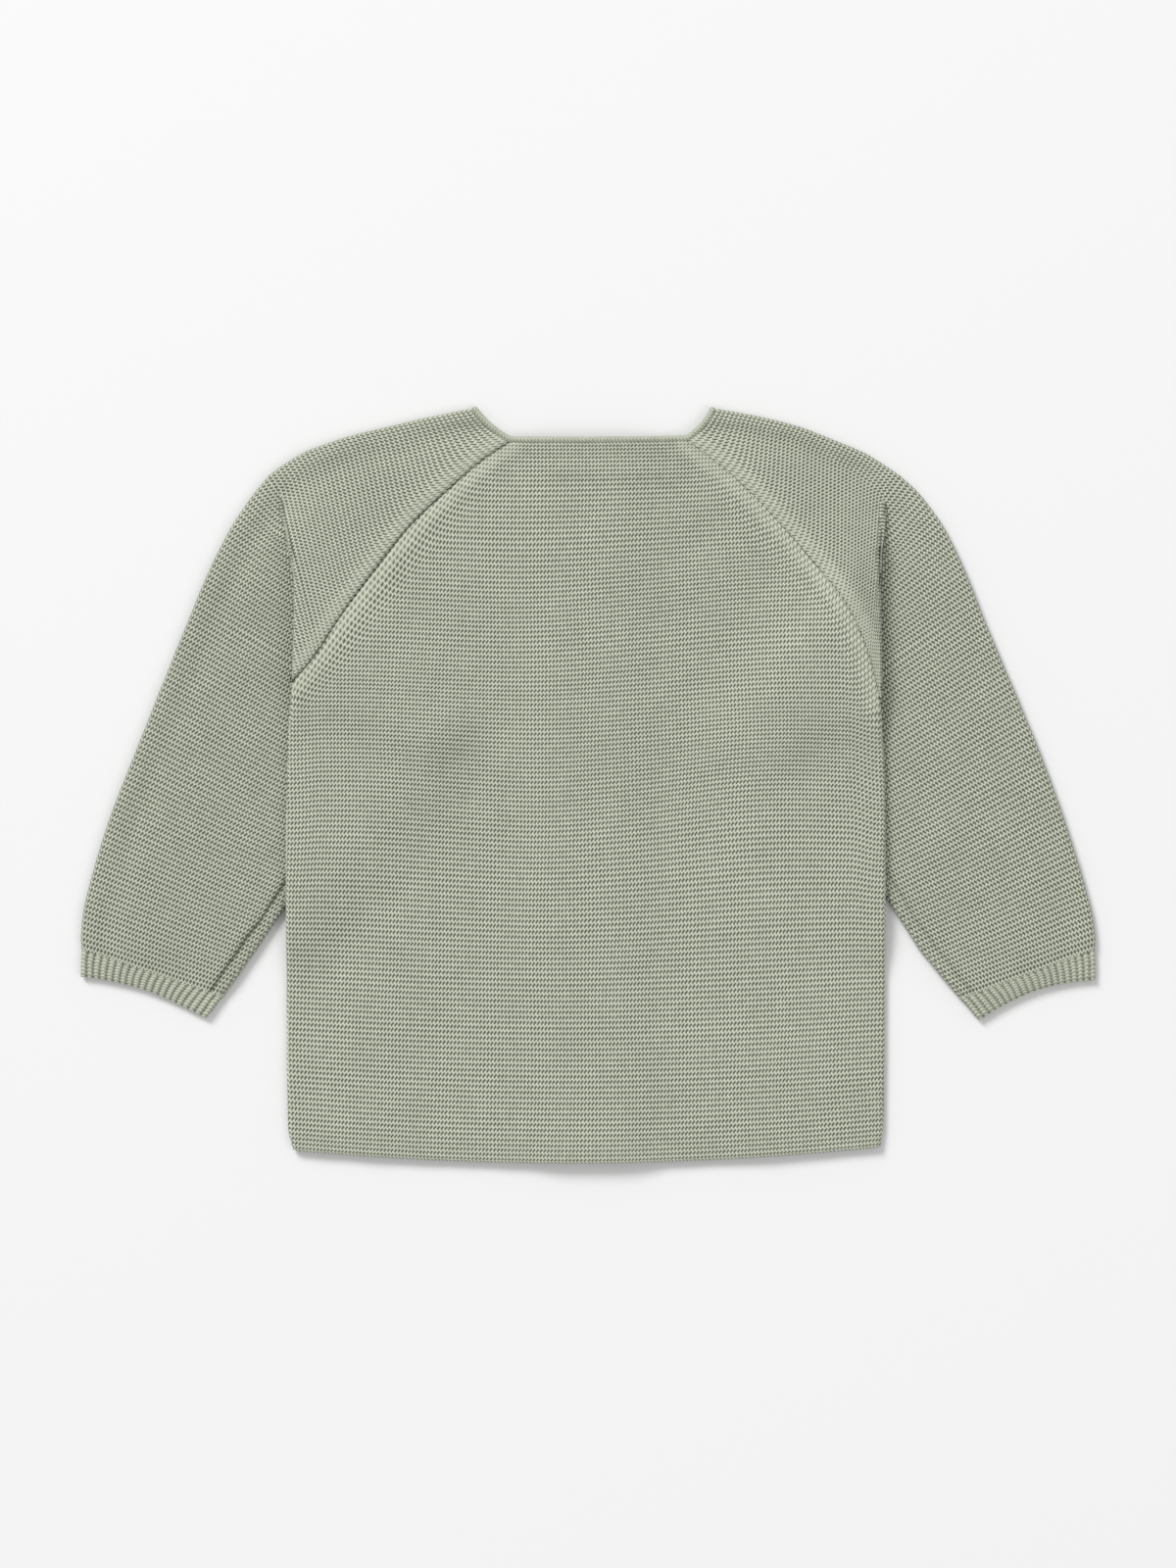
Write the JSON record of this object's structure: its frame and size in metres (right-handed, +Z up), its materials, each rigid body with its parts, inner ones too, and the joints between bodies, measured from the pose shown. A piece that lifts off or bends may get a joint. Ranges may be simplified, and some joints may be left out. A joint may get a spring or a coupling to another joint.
{
  "type": "baby cardigan",
  "caption": "Knitted garter-stitch raglan baby cardigan with rib cuffs, laid flat on its front with the sleeves folded down.",
  "frame": {"origin": "on the surface the cardigan lies on, under the middle of its box", "axes": "+Y towards the neck, +X towards the wearer's right (the cardigan lies on its front), +Z up off the surface"},
  "size_m": [0.4556, 0.3409, 0.0118],
  "materials": {
    "knit": "sage green garter-stitch knit",
    "rib": "sage green rib knit",
    "edge": "sage green knitted edge"
  },
  "bodies": {
    "root": {"back": "knit", "front_left": "knit", "front_right": "knit", "neck_edge": "edge", "sleeve_left": "knit", "pleat_left": "knit", "cuff_left": "rib", "sleeve_right": "knit", "pleat_right": "knit", "cuff_right": "rib"}
  },
  "joints": []
}
